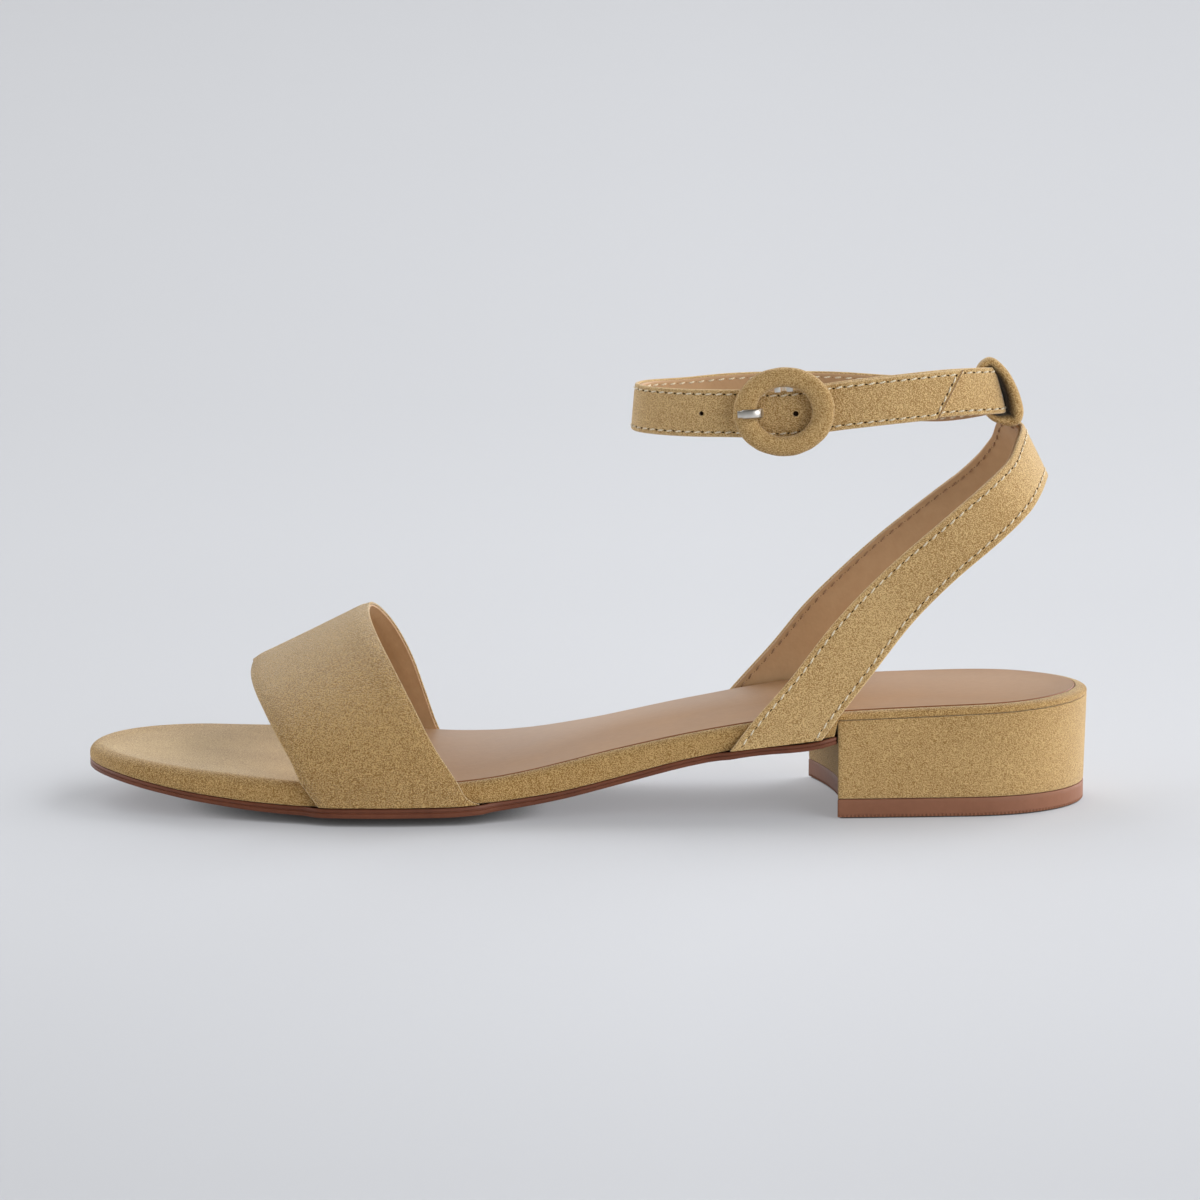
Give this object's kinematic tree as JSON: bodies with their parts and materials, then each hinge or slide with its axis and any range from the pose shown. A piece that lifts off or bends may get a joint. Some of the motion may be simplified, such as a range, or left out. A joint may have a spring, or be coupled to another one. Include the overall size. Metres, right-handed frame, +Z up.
{
  "type": "dress sandal",
  "caption": "Low block-heel dress sandal for the left foot with a wide toe band, a sling strap and a buckled ankle strap, in tan suede with a smooth brown sock.",
  "frame": {"origin": "on the ground, under the middle of the sandal's bounding box", "axes": "+X from the toe to the heel, +Y towards the inner (big-toe) side, +Z up"},
  "size_m": [0.2484, 0.0828, 0.1111],
  "materials": {
    "outsole": "satin, dark red-brown",
    "footbed_suede": "suede nap",
    "sock": "smooth, satin",
    "heel_suede": "suede nap",
    "top_piece_rubber": "matt, brown",
    "band_suede": "suede nap",
    "sling_suede": "suede nap",
    "loop_suede": "suede nap",
    "ankle_suede": "suede nap",
    "ring_suede": "suede nap",
    "bar_steel": "polished",
    "prong_steel": "polished"
  },
  "bodies": {
    "root": {"outsole": "outsole", "footbed": "footbed_suede", "insole": "sock", "heel_block": "heel_suede", "top_piece": "top_piece_rubber", "vamp_band": "band_suede", "sling_strap": "sling_suede", "back_loop": "loop_suede", "ankle_strap": "ankle_suede", "buckle_ring": "ring_suede", "buckle_bar": "bar_steel", "buckle_prong": "prong_steel"}
  },
  "joints": []
}
